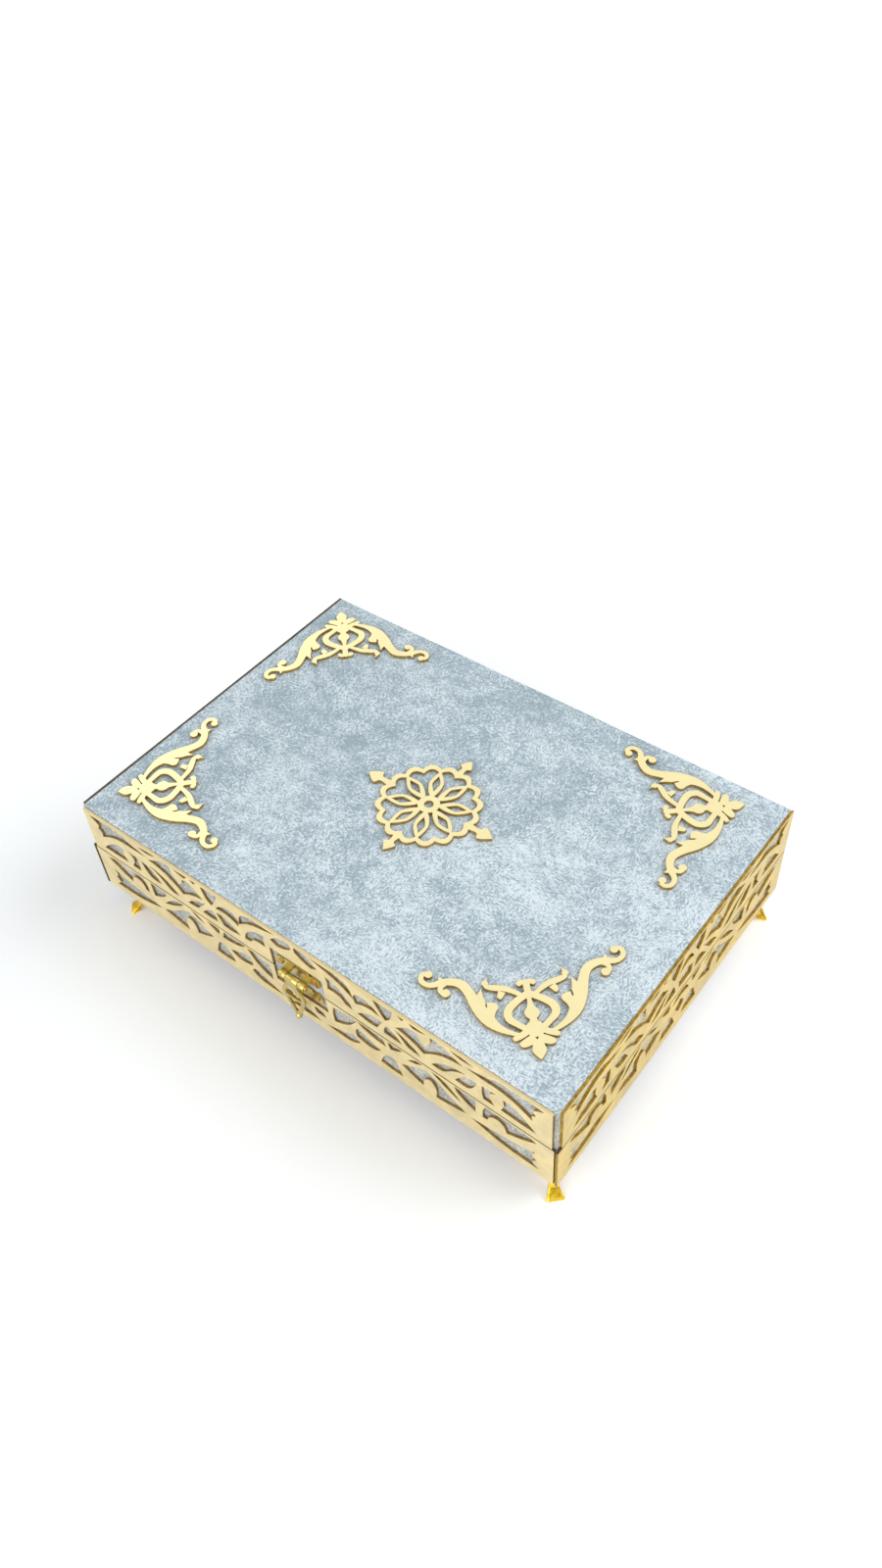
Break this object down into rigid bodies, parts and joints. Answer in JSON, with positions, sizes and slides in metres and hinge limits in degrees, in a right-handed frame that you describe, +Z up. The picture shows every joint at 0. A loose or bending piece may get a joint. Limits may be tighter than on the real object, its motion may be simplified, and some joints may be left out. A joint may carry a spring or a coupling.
{
  "type": "keepsake book box",
  "caption": "Velvet-covered book box on small gold feet, with gold fretwork on the front and sides, scroll ornaments on a hinged lid and a swinging front clasp.",
  "frame": {"origin": "on the floor under the middle of the whole box, feet, clasp and hinges included", "axes": "+X along the long side to the right as the clasp is faced, +Y from the clasp to the hinges at the back, +Z up"},
  "size_m": [0.3254, 0.2328, 0.087],
  "materials": {
    "fibreboard": "raw thin fibreboard",
    "velvet": "short blue-grey velvet pile, brushed in streaks",
    "lining_cloth": "blue-grey velvet lining over soft padding",
    "fret_gold": "satin gold foil on laser-cut board, burnt edges",
    "mirror_gold": "gold mirror sheet, laser cut",
    "foot_gold": "bright gold plating",
    "clasp_gold": "bright gold plating",
    "hinge_brass": "brass plated",
    "brass_small": "brass plated"
  },
  "bodies": {
    "base": {"base_floor": "fibreboard", "base_front_board": "fibreboard", "base_back_board": "fibreboard", "base_left_board": "fibreboard", "base_right_board": "fibreboard", "base_velvet": "velvet", "base_lining": "lining_cloth", "base_pad": "lining_cloth", "base_fret_front": "fret_gold", "base_fret_left": "fret_gold", "base_fret_right": "fret_gold", "foot_front_left": "foot_gold", "foot_front_right": "foot_gold", "foot_back_left": "foot_gold", "foot_back_right": "foot_gold", "foot_screws": "brass_small", "hinge_base_leaf_left": "hinge_brass", "hinge_base_leaf_right": "hinge_brass", "hinge_pin_left": "brass_small", "hinge_pin_right": "brass_small", "hinge_base_screws": "brass_small", "clasp_catch": "clasp_gold", "clasp_catch_screws": "brass_small"},
    "lid": {"lid_top_board": "fibreboard", "lid_front_board": "fibreboard", "lid_back_board": "fibreboard", "lid_left_board": "fibreboard", "lid_right_board": "fibreboard", "lid_velvet": "velvet", "lid_lining": "lining_cloth", "lid_pad": "lining_cloth", "lid_fret_front": "fret_gold", "lid_fret_left": "fret_gold", "lid_fret_right": "fret_gold", "lid_corner_front_left": "mirror_gold", "lid_corner_front_right": "mirror_gold", "lid_corner_back_left": "mirror_gold", "lid_corner_back_right": "mirror_gold", "lid_medallion": "mirror_gold", "hinge_lid_leaf_left": "hinge_brass", "hinge_lid_leaf_right": "hinge_brass", "hinge_lid_screws": "brass_small", "clasp_plate": "clasp_gold", "clasp_plate_screws": "brass_small", "clasp_pin": "brass_small"},
    "clasp": {"clasp_loop": "clasp_gold"}
  },
  "joints": [
    {"name": "lid_hinge", "type": "hinge", "parent": "base", "child": "lid", "pos_m": [0, 0.11417, 0.052], "axis": [-1, 0, 0], "range_deg": [0, 100]},
    {"name": "clasp_swing", "type": "hinge", "parent": "lid", "child": "clasp", "pos_m": [0, -0.11323, 0.0575], "axis": [-1, 0, 0], "range_deg": [-5, 110]}
  ]
}
